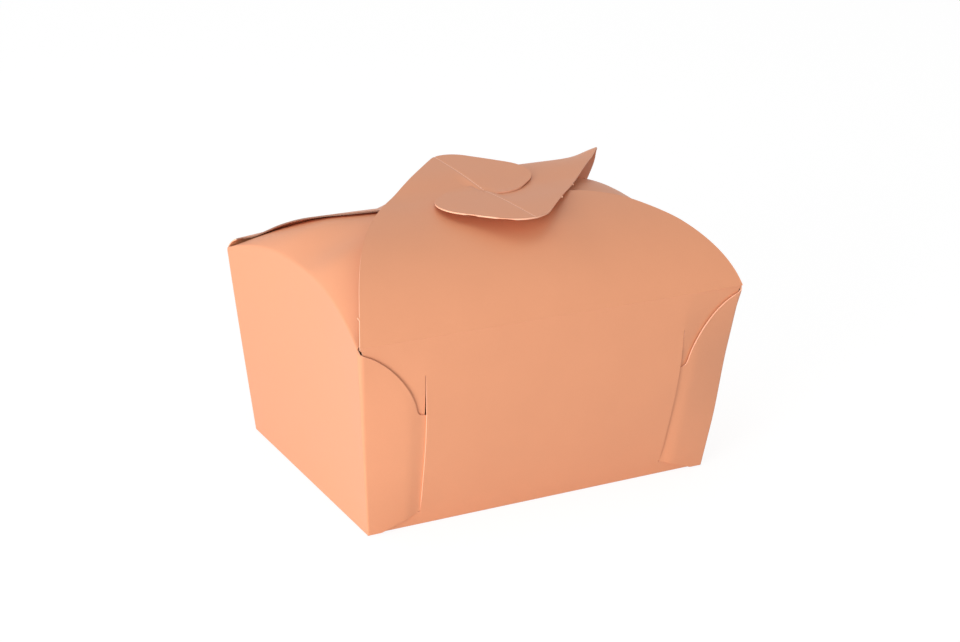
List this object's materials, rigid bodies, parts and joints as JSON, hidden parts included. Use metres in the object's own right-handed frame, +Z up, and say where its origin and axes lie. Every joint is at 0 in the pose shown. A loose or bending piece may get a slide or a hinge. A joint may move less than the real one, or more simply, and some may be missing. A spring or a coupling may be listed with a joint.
{
  "type": "takeaway box",
  "caption": "Folded card food box: tapered tray with tucked corner locks and an arched lid of two flaps whose hooked tips interlock.",
  "frame": {"origin": "middle of the base's underside", "axes": "+X along the long walls, +Y towards the back wall, +Z up"},
  "size_m": [0.132, 0.0996, 0.0888],
  "materials": {
    "card": "matte, uncoated, salmon orange on both sides"
  },
  "bodies": {
    "tray": {"tray": "card"},
    "front_lid": {"front_flap": "card", "front_hook": "card"},
    "back_lid": {"back_flap": "card", "back_hook": "card"}
  },
  "joints": [
    {"name": "front_crease", "type": "hinge", "parent": "tray", "child": "front_lid", "pos_m": [0, -0.0488, 0.0625], "axis": [1, 0, 0], "range_deg": [0, 165], "deforming": ["front_hook"]},
    {"name": "back_crease", "type": "hinge", "parent": "tray", "child": "back_lid", "pos_m": [0, 0.0488, 0.0625], "axis": [-1, 0, 0], "range_deg": [0, 165], "deforming": ["back_hook"]}
  ],
  "couplings": [
    {"joint": "back_crease", "follows": "front_crease", "ratio": 1}
  ]
}
